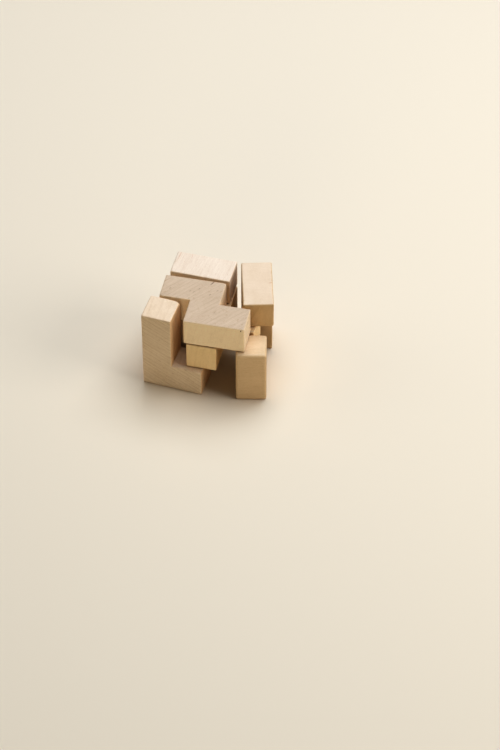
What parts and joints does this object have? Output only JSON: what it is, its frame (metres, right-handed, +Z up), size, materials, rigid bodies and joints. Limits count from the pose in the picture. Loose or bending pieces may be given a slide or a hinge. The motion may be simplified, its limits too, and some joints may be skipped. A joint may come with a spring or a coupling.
{
  "type": "wooden puzzle cube",
  "caption": "Cube-shaped wooden take-apart puzzle of flat interlocking hardwood blocks, stored loosened so that each block can be slid away.",
  "frame": {"origin": "middle of the closed cube's underside, on the surface it stands on", "axes": "+Z up; +X to the right and +Y to the back along the sides of the closed cube, which are the sides of the middle block"},
  "size_m": [0.0687, 0.0596, 0.0507],
  "materials": {
    "pale_hardwood": "sanded bare wood",
    "warm_hardwood": "sanded bare wood",
    "pinkish_hardwood": "sanded bare wood"
  },
  "bodies": {
    "middle": {"middle_t_block": "warm_hardwood"},
    "front_left": {"front_left_l_block": "pinkish_hardwood"},
    "top": {"top_z_block": "pinkish_hardwood"},
    "front_right": {"front_right_v_block": "warm_hardwood"},
    "rear_right": {"rear_right_l_block": "warm_hardwood"},
    "rear_left": {"rear_left_u_block": "pale_hardwood"},
    "inner": {"inner_v_block": "pale_hardwood"}
  },
  "joints": [
    {"name": "top_lift", "type": "slide", "parent": "middle", "child": "top", "axis": [0, 0, 1], "range_m": [0, 0.04]},
    {"name": "front_left_pull", "type": "slide", "parent": "middle", "child": "front_left", "axis": [-0.0785, -0.9969, 0], "range_m": [0, 0.04]},
    {"name": "front_right_pull", "type": "slide", "parent": "middle", "child": "front_right", "axis": [0.9763, 0.2164, 0], "range_m": [0, 0.04]},
    {"name": "rear_right_pull", "type": "slide", "parent": "middle", "child": "rear_right", "axis": [0.9659, 0.2588, 0], "range_m": [0, 0.04]},
    {"name": "rear_left_pull", "type": "slide", "parent": "middle", "child": "rear_left", "axis": [0.0262, 0.9997, 0], "range_m": [0, 0.04]},
    {"name": "inner_pull", "type": "slide", "parent": "middle", "child": "inner", "axis": [-1, 0.0087, 0], "range_m": [0, 0.04]}
  ]
}
